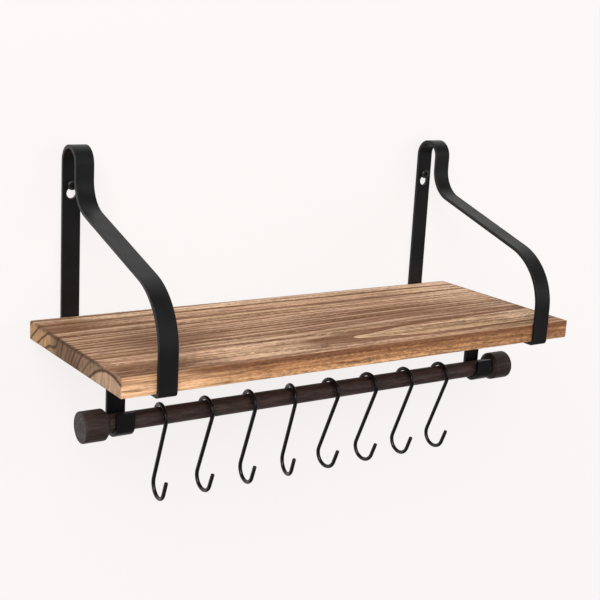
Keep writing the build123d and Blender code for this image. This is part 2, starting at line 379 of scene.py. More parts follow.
def build_paler_edges(name):
    """Paler edges that a piece's own edge attribute marks, broken up by noise: wear on the rod, wire and
    screws, and a painted edge sheen on the straps.
    """
    inputs, outputs = {"Place": "Vector", "Start": "Float", "Break": "Float"}, {"Mask": "Float"}
    tree, graph, given, result = new_nodes("ShaderNodeTree", name, inputs, outputs)
    edge = graph.put("ShaderNodeAttribute", attribute_name="edge")["Fac"]
    rim = graph.put("ShaderNodeMapRange", {"Value": edge, 1: given["Start"], 2: 1.0})[0]
    spots = graph.noise(graph.scale(given["Place"], given["Break"]), EVEN, 3.0)
    graph.join(graph.times(rim, graph.fade(spots, 0.35, 0.65)), result["Mask"])
    return tree


def build_fibre(name):
    """Wood fibre that runs along X: streaks, and fine pores between them."""
    inputs = {"Place": "Vector", "Across": "Float", "Along": "Float"}
    outputs = {"Streak": "Float", "Pore": "Float"}
    tree, graph, given, result = new_nodes("ShaderNodeTree", name, inputs, outputs)
    across = given["Across"]
    stretch = graph.put("ShaderNodeCombineXYZ", {0: given["Along"], 1: across, 2: across})[0]
    drawn = graph.vector("MULTIPLY", given["Place"], stretch)
    graph.join(graph.noise(drawn, EVEN, 3.0, 0.6), result["Streak"])
    graph.join(graph.fade(graph.noise(drawn, PORES, 2.0, 0.6), 0.56, 0.72), result["Pore"])
    return tree


GROUPS = {"Metal Grit": build_grit, "Edge Rub": build_paler_edges, "Wood Fibre": build_fibre}


def use_group(graph, name, **inputs):
    """Places a shared group in a material with its own values; the first material that asks has it built."""
    tree = bpy.data.node_groups.get(name) or GROUPS[name](name)
    return graph.put("ShaderNodeGroup", inputs, node_tree=tree)


def new_material(name):
    """A material, its graph, its shader and the place of each point in millimetres."""
    material = bpy.data.materials.new(name)
    material.use_nodes = True
    graph = Graph(material.node_tree)
    point = graph.in_mm(graph.put("ShaderNodeTexCoord")["Object"])
    return material, graph, material.node_tree.nodes["Principled BSDF"], point


def set_finish(graph, shader, tint, rough, specular, height, depth):
    """Gives a shader its colour, roughness and gloss, and a height in shares of a depth in metres."""
    graph.join(tint, shader.inputs["Base Color"])
    graph.join(rough, shader.inputs["Roughness"])
    shader.inputs["Specular IOR Level"].default_value = specular
    bump = graph.put("ShaderNodeBump", {"Height": height, "Distance": depth, "Strength": 1.0})
    graph.join(bump["Normal"], shader.inputs["Normal"])


# The board's wood, in millimetres: across from the back edge, up from the underside, along from the left end

BACK_HEART = (87.0, -95.0)  # across and up, of the rings in the board's back part
BACK_RISE = 0.008  # how far that heart climbs for each unit to the right
BACK_SHIFT = -9.6  # makes the two sets of rings meet
BACK_MEETS = (38.0, 62.0)  # where one set passes into the other
LIFTS_ALONG = ((162.0, 219.0), (219.0, 300.0))  # where the heart climbs more, by half of its lift each
LINE_CORE = (2.8, 1.5)  # how far past its ring a line's dark core fades out
LINE_SHADE = (4.6, 1.5, 0.0, 0.4)  # and the weaker shade that follows it
LINE_STRENGTHS = (0.65, 1.0)  # each ring line has its own
WEAK_AFTER = 50.5  # the weaker lines lie half a ring aside, and have other strengths
WEAK_FADES = (100.0, 70.0, 0.3, 0.8)  # they die out towards the bark
PALE_BEFORE = (3.5, 0.8)  # where the pale wood before a strong line starts and is palest
FLAT_ALONG = (60.0, 165.0)  # where the first ring lies flat under the top face
FLAT_LINE = 0.5  # what it shows there of its line

# The grain's waves: stretch, detail, and how far they move it along, across and up
GRAIN_WAVES = (
    ((0.006, 0.03, 0.03), 2.0, (0.0, 3.0, 1.0)),
    ((0.03, 0.15, 0.15), 1.0, (0.0, 1.4, 0.7)),
)

# Features for each millimetre along X, Y and Z
LAYERS = (0.004, 0.11, 0.11)
HAIR_LINES = (0.007, 0.2, 0.2)
LINE_GAPS = (0.01, 0.06, 0.06)
SAW_MARKS = (0.25, 0.7, 0.7)
SPLINTERS = (0.035, 0.5, 0.5)
THIN_LINES = (0.005, 0.26, 0.26)
FURROWS = (0.012, 0.55, 0.55)
END_PORES = (0.2, 1.1, 1.1)
END_RAYS = (0.1, 0.3, 0.08)
CHAR_GAPS = (0.3, 0.05, 0.3)
CAP_PORES = (0.4, 0.75, 0.75)

# Where the colours lie on the board
BACK_STRIP = (17.0, 10.0)  # across
FRONT_YELLOW = (120.0, 10.0)  # along
FOOT_YELLOW = (6.0, 1.0)  # up
UPPER_BROWN, UPPER_ALONG = (9.5, 11.5), (25.0, 80.0)  # up, and along
LOWER_BROWN, LOWER_ALONG = (8.0, 3.0), (320.0, 410.0)
SPECKLE_ALONG = (40.0, 140.0)
HONEY_ACROSS = (34.0, 56.0)
PALE_END_ACROSS = (84.0, 112.0)
SINGED, SINGED_ACROSS = (4.0, 0.5), (30.0, 140.0, 14.0)  # down from the top face, and across
BURNT, BURNT_ACROSS = (3.0, 1.0), (10.0, 132.0, 8.0)  # away from the upper arris, and across
SKIN = (1.0, 0.2)  # how deep the colours of the front edge and the ends go

# Where the torch stayed longer: along, across, half length, half width and strength
SCORCHES = (
    (295.0, 97.0, 135.0, 30.0, 0.50),
    (40.0, 68.0, 70.0, 46.0, 0.45),
    (85.0, 88.0, 62.0, 22.0, 0.50),
    (15.0, 22.0, 42.0, 18.0, 0.55),
    (20.0, 154.0, 78.0, 13.0, 0.85),
)

# Where it hardly browned the wood
PALES = (
    (400.0, 35.0, 60.0, 50.0, 0.80),
    (150.0, 140.0, 66.0, 36.0, 0.60),
    (405.0, 130.0, 30.0, 14.0, 0.55),
    (425.0, 80.0, 55.0, 110.0, 0.50),
)


def wood_place(graph, point):
    """Across, up and along in the board, each a little wavy as the grain is."""
    wavy = point
    for stretch, detail, reach in GRAIN_WAVES:
        noise = graph.noise(point, stretch, detail, output="Color")
        swing = graph.vector("SUBTRACT", noise, (0.5, 0.5, 0.5))
        wavy = graph.vector("ADD", wavy, graph.vector("MULTIPLY", swing, reach))
    x, y, z = graph.split(wavy)
    across = graph.subtract(BOARD_HIGH.y * PER_METRE, y)
    up = graph.subtract(z, BOARD_LOW.z * PER_METRE)
    along = graph.subtract(x, BOARD_LOW.x * PER_METRE)
    return across, up, along


def ring_lines(graph, point, board):
    """How dark and how pale the growth rings make each point, its distance from the heart, and its place."""
    across, up, along = wood_place(graph, point)
    first_ring, spacing = board.ring_first * PER_METRE, board.ring_spacing * PER_METRE

    def from_heart(heart_across, heart_up):
        aside = graph.subtract(across, heart_across)
        over = graph.subtract(up, heart_up)
        return graph.math("SQRT", graph.add(graph.times(aside, aside), graph.times(over, over)))

    def past_line(count):
        return graph.times(graph.math("FRACT", count), spacing)

    def line(count):
        """Sharp towards the heart and fading towards the bark, stronger in some years than in others."""
        past = past_line(count)
        shape = graph.most(graph.fade(past, *LINE_CORE), graph.fade(past, *LINE_SHADE))
        year = graph.math("FLOOR", count)
        chance = graph.put("ShaderNodeTexWhiteNoise", {"W": year}, noise_dimensions="1D")[0]
        return graph.times(shape, graph.fade(chance, 0.0, 1.0, *LINE_STRENGTHS))

    heart_across = graph.subtract(board.heart_in * PER_METRE, graph.times(along, board.heart_drift))
    climb = graph.times(along, board.heart_rise)
    for start, end in LIFTS_ALONG:
        climb = graph.add(climb, graph.fade(along, start, end, 0.0, board.heart_lift * PER_METRE / 2))
    near = from_heart(heart_across, graph.subtract(climb, board.heart_below * PER_METRE))
    back_up = graph.add(graph.times(along, BACK_RISE), BACK_HEART[1])
    far = graph.add(from_heart(BACK_HEART[0], back_up), BACK_SHIFT)
    share = graph.fade(across, *BACK_MEETS)
    distance = graph.add(far, graph.times(share, graph.subtract(near, far)))
    turn = graph.math("DIVIDE", graph.subtract(distance, first_ring), spacing)

    weak = graph.times(line(graph.add(turn, WEAK_AFTER)), graph.fade(distance, *WEAK_FADES))
    outside = graph.fade(distance, first_ring - 0.5, first_ring)
    near_first = graph.fade(distance, first_ring + 5.0, first_ring + 3.0)
    flat = graph.times(graph.band(along, *FLAT_ALONG, 20.0), near_first)
    dark = graph.times(graph.most(line(turn), weak), outside, graph.fade(flat, 0.0, 1.0, 1.0, FLAT_LINE))
    start, palest = PALE_BEFORE
    pale = graph.times(graph.fade(past_line(turn), spacing - start, spacing - palest), outside)
    return SimpleNamespace(dark=dark, pale=pale, distance=distance, across=across, up=up, along=along)


def patches(graph, wood, spots):
    """How strongly soft oval spots cover each point of the board."""
    covers = []
    for centre_along, centre_across, half_long, half_wide, strength in spots:
        long = graph.math("DIVIDE", graph.subtract(wood.along, centre_along), half_long)
        wide = graph.math("DIVIDE", graph.subtract(wood.across, centre_across), half_wide)
        reach = graph.add(graph.times(long, long), graph.times(wide, wide))
        covers.append(graph.fade(reach, 1.6, 0.0, 0.0, strength))
    return graph.add(*covers)


def top_colour(graph, point, board, wood):
    """Tan and olive layers with a pale back strip, scorches, hair lines and the ring lines."""
    face = graph.mix(graph.fade(graph.noise(point, LAYERS), 0.35, 0.65), board.tan, board.olive)
    face = graph.mix(graph.fade(wood.across, *BACK_STRIP), face, board.peach)
    face = graph.mix(patches(graph, wood, PALES), face, board.peach)
    browned = graph.add(graph.times(wood.streak, 2.6), 1.0)
    face = graph.mix(graph.times(patches(graph, wood, SCORCHES), browned), face, board.brown)
    grain = graph.add(wood.streak, graph.times(wood.saw, 1.3))
    face = graph.shade(face, graph.add(graph.times(grain, 2.2), 1.0))
    hair = graph.noise(point, HAIR_LINES, 2.0, 0.6)
    face = graph.mix(graph.fade(hair, 0.47, 0.41, 0.0, 0.34), face, board.peach)
    face = graph.mix(graph.times(wood.pale, 0.36), face, board.peach)
    face = graph.mix(graph.fade(hair, 0.53, 0.58, 0.0, 0.45), face, board.ring_brown)
    strength = graph.fade(graph.noise(point, LINE_GAPS), 0.3, 0.6, 0.8, 1.0)
    return graph.mix(graph.times(wood.dark, strength), face, board.ring_brown)


def front_colour(graph, point, board, wood):
    """The rough-sawn front edge: yellow at its left end and foot, brown along its upper layers."""
    edge = graph.mix(graph.fade(wood.along, *FRONT_YELLOW), board.edge_orange, board.edge_yellow)
    edge = graph.mix(graph.fade(wood.up, *FOOT_YELLOW, 0.0, 0.3), edge, board.edge_yellow)
    upper = graph.times(graph.fade(wood.up, *UPPER_BROWN), graph.fade(wood.along, *UPPER_ALONG, 0.25, 0.95))
    lower = graph.times(graph.fade(wood.up, *LOWER_BROWN), graph.fade(wood.along, *LOWER_ALONG, 0.0, 0.6))
    edge = graph.mix(graph.most(upper, lower), edge, board.edge_brown)
    splinters = graph.times(graph.swing(point, SPLINTERS, 3.0, 0.7), 1.9)
    speckle = graph.times(wood.saw, graph.fade(wood.along, *SPECKLE_ALONG, 0.7, 2.2))
    edge = graph.shade(edge, graph.add(wood.streak, splinters, speckle, 1.0))
    contour = graph.math("ABSOLUTE", graph.swing(point, THIN_LINES))
    edge = graph.mix(graph.fade(contour, 0.035, 0.012, 0.0, 0.6), edge, board.edge_brown)
    return graph.mix(graph.times(wood.dark, 0.6), edge, board.edge_brown)


def end_colour(graph, point, board, wood, from_top):
    """End grain, honey at the back and pale inside the first ring, with thin charred ring lines."""
    first_ring = board.ring_first * PER_METRE
    end = graph.mix(graph.fade(wood.across, *HONEY_ACROSS), board.end_honey, board.end_brown)
    inside = graph.fade(wood.distance, first_ring, first_ring - 1.0)
    paler = graph.fade(wood.across, *PALE_END_ACROSS, 0.0, 0.3)
    end = graph.mix(graph.most(inside, paler), end, board.end_pale)
    pores = graph.fade(graph.noise(point, END_PORES, 3.0, 0.7), 0.2, 0.8, 0.7, 1.3)
    rays = graph.fade(graph.noise(point, END_RAYS, 3.0, 0.6), 0.25, 0.75, 0.72, 1.34)
    end = graph.shade(end, graph.times(pores, rays))
    singed = graph.times(graph.fade(from_top, *SINGED), graph.band(wood.across, *SINGED_ACROSS))
    thin_ring = graph.fade(wood.dark, 0.45, 0.8, 0.0, 0.75)
    return graph.mix(graph.most(thin_ring, graph.times(singed, 0.3)), end, board.char)


def torched_wood(board):
    """Torched and brushed softwood, with the same rings on its faces, edges and ends."""
    material, graph, shader, point = new_material("torched_wood")
    wood = ring_lines(graph, point, board)
    broad = use_group(graph, "Wood Fibre", Place=point, Across=0.28, Along=0.006)
    fine = use_group(graph, "Wood Fibre", Place=point, Across=0.70, Along=0.02)
    wood.streak = graph.subtract(graph.add(broad["Streak"], fine["Streak"]), 1.0)
    wood.saw = graph.swing(point, SAW_MARKS, 2.0, 0.7)
    x, y, z = graph.split(point)
    from_front = graph.subtract(y, BOARD_LOW.y * PER_METRE)
    from_top = graph.subtract(BOARD_HIGH.z * PER_METRE, z)
    from_end = graph.subtract(BOARD_HIGH.x * PER_METRE, graph.math("ABSOLUTE", x))
    face = top_colour(graph, point, board, wood)
    face = graph.mix(graph.fade(from_front, *SKIN), face, front_colour(graph, point, board, wood))
    face = graph.mix(graph.fade(from_end, *SKIN), face, end_colour(graph, point, board, wood, from_top))
    arris = graph.fade(graph.add(from_end, from_top), *BURNT)
    broken = graph.fade(graph.noise(point, CHAR_GAPS, 3.0), 0.25, 0.5, 0.35, 1.0)
    burnt = graph.times(arris, broken, graph.band(wood.across, *BURNT_ACROSS))
    face = graph.mix(graph.times(burnt, 0.6), face, board.char)
    rough = graph.fade(wood.streak, -0.4, 0.4, 0.78, 0.6)
    height = graph.subtract(graph.times(fine["Streak"], 0.8), graph.times(wood.dark, 0.5))
    set_finish(graph, shader, face, rough, specular=0.15, height=height, depth=0.25 * MM)
    return material


def stained_wood(rod):
    """Dark stained wood with its grain along the rod, and open pores on the caps' ends."""
    material, graph, shader, point = new_material("stained_wood")
    fibre = use_group(graph, "Wood Fibre", Place=point, Across=0.55, Along=0.06)
    paler_edge = use_group(graph, "Edge Rub", Place=point, Start=0.2, Break=0.25)
    aside = graph.math("ABSOLUTE", graph.split(point)[0])
    end = graph.fade(graph.subtract(CAP_HIGH.x * PER_METRE, aside), 0.9, 0.2)
    dots = graph.fade(graph.noise(point, CAP_PORES, 3.0, 0.65), 0.5, 0.64)
    pore = graph.most(fibre["Pore"], graph.times(end, dots))
    stain = graph.shade(rod.stain, graph.fade(fibre["Streak"], 0.3, 0.7, 0.62, 1.42))
    stain = graph.mix(graph.times(end, 0.3), stain, rod.stain_pale)
    stain = graph.mix(graph.times(paler_edge["Mask"], 0.55), stain, rod.stain_pale)
    stain = graph.mix(graph.times(pore, 0.55), stain, rod.stain_deep)
    cap_start = CAP_LOW.x * PER_METRE
    stain = graph.shade(stain, graph.fade(aside, cap_start - 0.5, cap_start + 0.5, 1.0, 0.6))
    rough = graph.fade(fibre["Streak"], 0.2, 0.8, 0.62, 0.42)
    height = graph.subtract(fibre["Streak"], pore)
    set_finish(graph, shader, stain, rough, specular=0.3, height=height, depth=0.12 * MM)
    return material


def worn_metal(name, coat, edge_tint, grain, edge_start, edge_break, edge_share, brightest):
    """A metal's material, graph, shader and grit, and its coat's colour with paler edges in it: wear on the
    wire and screws, and a painted edge sheen on the powder coat.
    """
    material, graph, shader, point = new_material(name)
    grit = use_group(graph, "Metal Grit", Place=point, Grain=grain)
    paler_edge = use_group(graph, "Edge Rub", Place=point, Start=edge_start, Break=edge_break)
    tint = graph.shade(coat, graph.fade(grit["Sheen"], 0.2, 0.8, 0.8, brightest))
    return material, graph, shader, grit, graph.mix(graph.times(paler_edge["Mask"], edge_share), tint, edge_tint)


def powder_coat(bracket):
    """Matt black powder coat, with a painted edge sheen: a little paler along its edges."""
    material, graph, shader, grit, tint = worn_metal(
        "powder_coat", bracket.coat, bracket.edge_sheen,
        grain=2.4, edge_start=0.55, edge_break=0.12, edge_share=0.5, brightest=1.25,
    )
    rough = graph.add(graph.fade(grit["Sheen"], 0.2, 0.8, 0.29, 0.42), graph.times(grit["Height"], 0.08))
    set_finish(graph, shader, tint, rough, specular=0.25, height=grit["Height"], depth=0.05 * MM)
    return material


def wire_lacquer(hooks):
    """Satin black lacquer on wire, worn at the tips."""
    material, graph, shader, grit, tint = worn_metal(
        "wire_lacquer", hooks.lacquer, hooks.lacquer_worn,
        grain=1.6, edge_start=0.1, edge_break=0.5, edge_share=0.6, brightest=1.3,
    )
    rough = graph.fade(grit["Height"], 0.2, 0.8, 0.22, 0.32)
    set_finish(graph, shader, tint, rough, specular=0.4, height=grit["Height"], depth=0.03 * MM)
    return material


def plated_steel(name, plate, edge_tint, metal, bareness):
    """Plated steel that shows bare where it has worn."""
    material, graph, shader, grit, tint = worn_metal(
        name, plate, edge_tint, grain=3.0, edge_start=0.4, edge_break=0.8, edge_share=bareness, brightest=1.2,
    )
    shader.inputs["Metallic"].default_value = metal
    rough = graph.fade(grit["Height"], 0.2, 0.8, 0.32, 0.48)
    set_finish(graph, shader, tint, rough, specular=0.5, height=grit["Height"], depth=0.03 * MM)
    return material


def link_mesh(name, mesh):
    """A new object at the origin that shows a mesh."""
    piece = bpy.data.objects.new(name, mesh)
    bpy.context.scene.collection.objects.link(piece)
    return piece


def new_object(name, points, faces=(), edges=()):
    """A new object at the origin from points, faces and loose edges."""
    mesh = bpy.data.meshes.new(name)
    mesh.from_pydata([tuple(p) for p in points], list(edges), [tuple(f) for f in faces])
    mesh.update()
    return link_mesh(name, mesh)


def mark(mesh, attribute, values):
    """Stores one number for each point of a mesh."""
    layer = mesh.attributes.new(attribute, "FLOAT", "POINT")
    layer.data.foreach_set("value", np.asarray(values, np.float32))


def face_outwards(mesh):
    """Merges a closed mesh's doubles and turns its faces outwards."""
    work = bmesh.new()
    work.from_mesh(mesh)
    bmesh.ops.remove_doubles(work, verts=work.verts, dist=MERGE_DISTANCE)
    bmesh.ops.recalc_face_normals(work, faces=work.faces)
    work.to_mesh(mesh)
    work.free()
    mesh.update()


def keep_flats(piece):
    """Shades a piece smooth, with normals that keep its flat faces flat."""
    piece.data.shade_smooth()
    piece.data.set_sharp_from_angle(angle=SHARP_ANGLE)
    weighted = piece.modifiers.new("flats", "WEIGHTED_NORMAL")
    weighted.keep_sharp = True
    weighted.weight = FLAT_WEIGHT


def settle(name, source):
    """Turns what an object's modifiers make into a plain mesh object, and removes the source."""
    evaluated = source.evaluated_get(bpy.context.evaluated_depsgraph_get())
    mesh = bpy.data.meshes.new_from_object(evaluated)
    bpy.data.objects.remove(source)
    mesh.name = name
    return link_mesh(name, mesh)


def dress(piece, body, slot, *nodes):
    """Lets a finished piece ride on its body, in place of the solids that it stands for."""
    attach(piece, body)
    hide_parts(*nodes)


def run_tree(name, source, tree, **inputs):
    """The plain piece that a geometry tree makes from a source, with its inputs set by identifier."""
    modifier = source.modifiers.new(tree.name, "NODES")
    modifier.node_group = tree
    for item in tree.interface.items_tree:
        if item.item_type == "SOCKET" and item.in_out == "INPUT" and item.name in inputs:
            modifier[item.identifier] = inputs[item.name]
    return settle(name, source)


def new_tree(name, **inputs):
    """A geometry tree that takes and gives a shape, with named inputs and a material."""
    sockets = {"Geometry": "Geometry", **inputs, "Material": "Material"}
    return new_nodes("GeometryNodeTree", name, sockets, {"Geometry": "Geometry"})


def close_tree(graph, geometry, material, result):
    """Ends a tree in smooth shading, realized instances and its material."""
    smooth = graph.put("GeometryNodeSetShadeSmooth", {"Geometry": geometry})[0]
    real = graph.put("GeometryNodeRealizeInstances", {"Geometry": smooth})[0]
    done = graph.put("GeometryNodeSetMaterial", {"Geometry": real, "Material": material})[0]
    graph.join(done, result["Geometry"])


def sweep_tree():
    """Sweeps the section object's outline along the source's line."""
    tree, graph, given, result = new_tree("Sweep Along Bends", Section="Object")
    line = graph.put("GeometryNodeMeshToCurve", {0: given["Geometry"]})[0]
    section = graph.put("GeometryNodeObjectInfo", {"Object": given["Section"]})["Geometry"]
    outline = graph.put("GeometryNodeMeshToCurve", {0: section})[0]
    slim = graph.put("GeometryNodeInputNamedAttribute", {"Name": "slim"}, data_type="FLOAT")[0]
    sweep = {"Curve": line, "Profile Curve": outline, "Scale": slim, "Fill Caps": True}
    close_tree(graph, graph.put("GeometryNodeCurveToMesh", sweep)[0], given["Material"], result)
    return tree


def brushed_tree(board):
    """Cuts the grain's relief into a block's surface."""
    tree, graph, given, result = new_tree("Brushed Grain", Relief="Float")
    point = graph.in_mm(graph.put("GeometryNodeInputPosition")[0])
    furrow = graph.fade(graph.noise(point, FURROWS, 3.0, 0.6), 0.7, 0.35, 0.0, 0.35)
    depth = graph.add(graph.times(ring_lines(graph, point, board).dark, 0.65), furrow)
    inwards = graph.times(depth, given["Relief"], -1.0)
    offset = graph.scale(graph.put("GeometryNodeInputNormal")[0], inwards)
    moved = graph.put("GeometryNodeSetPosition", {"Geometry": given["Geometry"], "Offset": offset})[0]
    close_tree(graph, moved, given["Material"], result)
    return tree


def set_out_tree():
    """Puts one copy of the template object on each point of the source."""
    tree, graph, given, result = new_tree("Set Out Screws", Template="Object")
    template = graph.put("GeometryNodeObjectInfo", {"Object": given["Template"]})["Geometry"]
    copies = {"Points": given["Geometry"], "Instance": template}
    close_tree(graph, graph.put("GeometryNodeInstanceOnPoints", copies)[0], given["Material"], result)
    return tree


def even_steps(count):
    """Even steps from nought to one."""
    return [i / count for i in range(count + 1)]


def toward(angle):
    """The unit vector in a plane that points at an angle in degrees."""
    return Vector((math.cos(math.radians(angle)), math.sin(math.radians(angle))))


def ring_edges(count):
    """The edges that close a ring of points."""
    return [(i, (i + 1) % count) for i in range(count)]


def block_steps(low, high, edge_round, cell):
    """Coordinates along one side of a block, closer together round its eased edges."""
    rim = [edge_round * math.tan(math.radians(angle)) for angle in RIM_ANGLES]
    count = max(1, round((high - low - 2 * edge_round) / cell))
    middle = np.linspace(low + edge_round, high - edge_round, count + 1)
    before = [low + edge_round - r for r in reversed(rim)]
    after = [high - edge_round + r for r in rim]
    return np.concatenate([before, middle, after])


def eased_block(low, high, edge_round, cells):
    """A closed block of quads with rounded edges, with a cell size for each axis."""
    steps = [block_steps(low[i], high[i], edge_round, cells[i]) for i in range(3)]
    points, faces = [], []
    for axis in range(3):
        first, second = (axis + 1) % 3, (axis + 2) % 3
        u, v = np.meshgrid(steps[first], steps[second], indexing="ij")
        for end in (low[axis], high[axis]):
            grid = np.zeros(u.shape + (3,))
            grid[..., first], grid[..., second], grid[..., axis] = u, v, end
            index = np.arange(u.size).reshape(u.shape) + sum(len(p) for p in points)
            corners = (index[:-1, :-1], index[1:, :-1], index[1:, 1:], index[:-1, 1:])
            faces.append(np.stack(corners, axis=-1).reshape(-1, 4))
            points.append(grid.reshape(-1, 3))
    points = np.concatenate(points)
    inner = np.clip(points, np.array(low) + edge_round, np.array(high) - edge_round)
    away = points - inner
    points = inner + away / np.linalg.norm(away, axis=1)[:, None] * edge_round
    unique, index = np.unique(np.round(points, 8), axis=0, return_inverse=True)
    return unique, index.reshape(-1)[np.concatenate(faces)]


def bend_line(start, heading, steps):
    """Points along runs ("run", length) and bends ("bend", radius, turn) in a plane, angles in degrees."""
    points = [Vector(start)]
    for kind, size, *turns in steps:
        begin = points[-1]
        if kind == "run":
            count = max(1, math.ceil(size / RUN_STEP))
            points += [begin + toward(heading) * (size * t) for t in even_steps(count)[1:]]
        else:
            turn = turns[0]
            side = math.copysign(90.0, turn)
            centre = begin + size * toward(heading + side)
            count = max(LEAST_BEND_STEPS, math.ceil(abs(turn) / BEND_STEP))
            points += [centre + size * toward(heading - side + turn * t) for t in even_steps(count)[1:]]
            heading += turn
    return points


def line_source(name, points, slim=None):
    """An object whose mesh is one open line, with the share of the section that each point keeps."""
    source = new_object(name, points, edges=[(i, i + 1) for i in range(len(points) - 1)])
    mark(source.data, "slim", [1.0] * len(points) if slim is None else slim)
    return source


def bar_section(bracket):
    """The flat bar's outline, with its rounded corners marked as edges."""
    edge = bracket.edge_round
    half_x, half_y = bracket.strap_width / 2 - edge, bracket.strap_thickness / 2 - edge
    corners = ((half_x, half_y), (-half_x, half_y), (-half_x, -half_y), (half_x, -half_y))
    points = []
    for quarter, centre in enumerate(corners):
        first, last = 90 * quarter, 90 * (quarter + 1)
        arc = [Vector(centre) + edge * toward(first + angle) for angle in CORNER_ANGLES]
        points += [arc[0] - edge * toward(first + 90), *arc, arc[-1] + edge * toward(last + 90)]
    section = new_object("bar_section", [p.to_3d() for p in points], edges=ring_edges(len(points)))
    mark(section.data, "edge", CORNER_WEAR * len(corners))
    return section


def strap_line(bracket):
    """The middle of the bracket's strap in the YZ plane, from the lip's end to the cradle's front end."""
    half = bracket.strap_thickness / 2
    corner = bracket.corner_round + half
    front_y = STRAP_LOW.y + half
    run_z = BOARD_LOW.z - half
    tail_y = half - bracket.tail_front
    loop_radius = bracket.loop_width / 2 - half
    loop_z = STRAP_HIGH.z - bracket.loop_width / 2
    shoulder_z = BOARD_HIGH.z + bracket.shoulder_above_board
    bends = bracket.neck_bend_radius + bracket.shoulder_radius
    across = -half - 2 * loop_radius - bracket.neck_bend_radius - (front_y + bracket.shoulder_radius)
    fall = loop_z - bracket.neck_length - shoulder_z
    slope = math.acos(bends / math.hypot(across, fall)) - math.atan2(across, fall)
    arm = across * math.cos(slope) + fall * math.sin(slope)
    turn = 90.0 - math.degrees(slope)
    lip_end = STRAP_LOW.y + bracket.lip_length
    return bend_line((lip_end, run_z), 180.0, (
        ("run", lip_end - front_y - corner),
        ("bend", corner, -90.0),
        ("run", shoulder_z - run_z - corner),
        ("bend", bracket.shoulder_radius, -turn),
        ("run", arm),
        ("bend", bracket.neck_bend_radius, turn),
        ("run", bracket.neck_length),
        ("bend", loop_radius, -180.0),
        ("run", loop_z - run_z - corner),
        ("bend", corner, -90.0),
        ("run", -half - corner - (tail_y + corner)),
        ("bend", corner, 90.0),
        ("run", run_z - corner - ROD_AXIS.z),
        ("bend", ROD_RADIUS + bracket.cradle_gap + half, -180.0),
        ("run", bracket.cradle_front_rise),
    ))


def prism(outline, depth_axis, start, end):
    """A closed prism from an outline of two coordinates, drawn out along the third axis."""
    others = [axis for axis in range(3) if axis != depth_axis]
    points = []
    for level in (start, end):
        for first, second in outline:
            point = [0.0, 0.0, 0.0]
            point[others[0]], point[others[1]], point[depth_axis] = first, second, level
            points.append(point)
    count = len(outline)
    faces = [tuple(range(count)), tuple(range(count, 2 * count))]
    faces += [(i, j, count + j, count + i) for i, j in ring_edges(count)]
    return points, faces


def keyhole_outline(bracket, x):
    """The keyhole round a screw on the wall's Z zero: a slot above a round hole."""
    half, radius, drop = bracket.keyhole_slot_width / 2, bracket.keyhole_radius, bracket.keyhole_drop
    opening = math.asin(half / radius)
    sweep = 2 * math.pi - 2 * opening
    upper = [math.pi * t for t in even_steps(SLOT_STEPS)]
    lower = [math.pi / 2 + opening + sweep * t for t in even_steps(KEYHOLE_STEPS)]
    outline = [(x + half * math.cos(a), half * math.sin(a)) for a in upper]
    return outline + [(x + radius * math.cos(a), radius * math.sin(a) - drop) for a in lower]


def turned(profile, sides, thread=None):
    """A closed body turned about Z from (height, radius) pairs; a thread adds to the radius."""
    points, faces = [], []
    for height, radius in profile:
        for i in range(sides):
            angle = 2 * math.pi * i / sides
            reach = radius + (thread(height, angle) if thread else 0.0)
            points.append((reach * math.cos(angle), reach * math.sin(angle), height))
    for row in range(len(profile) - 1):
        low, high = row * sides, (row + 1) * sides
        faces += [(low + i, low + j, high + j, high + i) for i, j in ring_edges(sides)]
    last = (len(profile) - 1) * sides
    faces.append(tuple(reversed(range(sides))))
    faces.append(tuple(range(last, last + sides)))
    return np.array(points), faces


def round_corner(first, corner, last, radius, steps):
    """Points of an arc of about that radius that cuts the corner of a profile."""
    corner = Vector(corner)
    before = (Vector(first) - corner).normalized() * radius
    after = (Vector(last) - corner).normalized() * radius
    return [tuple(corner + before * (1 - t) ** 2 + after * t ** 2) for t in even_steps(steps)]


def countersink(bracket, screws, x, y):
    """A cutter for one countersunk hole through a strap under the board."""
    head, shank = screws.board_head_diameter / 2, screws.board_shank_diameter / 2
    low = BOARD_LOW.z - bracket.strap_thickness
    spare = 0.05 * MM
    mouth, throat = (low - spare, head + 2 * spare), (low + head - shank, shank + spare)
    points, faces = turned((mouth, throat, (BOARD_LOW.z + spare, shank + spare)), HOLE_SIDES)
    return points + np.array((x, y, 0.0)), faces


def join_parts(parts):
    """One list of points and faces from several."""
    points, faces = [], []
    for part_points, part_faces in parts:
        faces += [tuple(i + len(points) for i in face) for face in part_faces]
        points += [tuple(p) for p in part_points]
    return points, faces


def cut(piece, parts, rim):
    """Cuts closed parts out of a piece, and eases the rims that this leaves."""
    cutter = new_object("cutter", *join_parts(parts))
    face_outwards(cutter.data)
    boolean = piece.modifiers.new("holes", "BOOLEAN")
    boolean.operation = "DIFFERENCE"
    boolean.solver = "EXACT"
    boolean.object = cutter
    if rim:
        bevel = piece.modifiers.new("rims", "BEVEL")
        bevel.width = rim
        bevel.segments = 2
        bevel.limit_method = "ANGLE"
        bevel.angle_limit = SHARP_ANGLE
    result = settle(piece.name, piece)
    bpy.data.objects.remove(cutter)
    return result


def small_screw_places():
    """Where the two small screws of each node stand, seen from below."""
    places = {}
    for node in ("board_screws_front", "board_screws_rear"):
        low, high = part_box(node)
        places[node] = [(sign * STRAP_X, (low.y + high.y) / 2, low.z) for sign in SIDES.values()]
    return places


class SHELF_OT_board(Operator):
    """Makes the torched board with its brushed grain"""

    bl_idname = "shelf.board"
    bl_label = "Board"

    def execute(self, context):
        board = context.scene.shelf_board
        blank = new_object("blank", *eased_block(BOARD_LOW, BOARD_HIGH, board.edge_round, BOARD_CELLS))
        face_outwards(blank.data)
        wood, tree = torched_wood(board), brushed_tree(board)
        plank = run_tree("plank", blank, tree, Relief=board.grain_relief, Material=wood)
        dress(plank, "shelf", "torched_wood", "board")
        return {"FINISHED"}


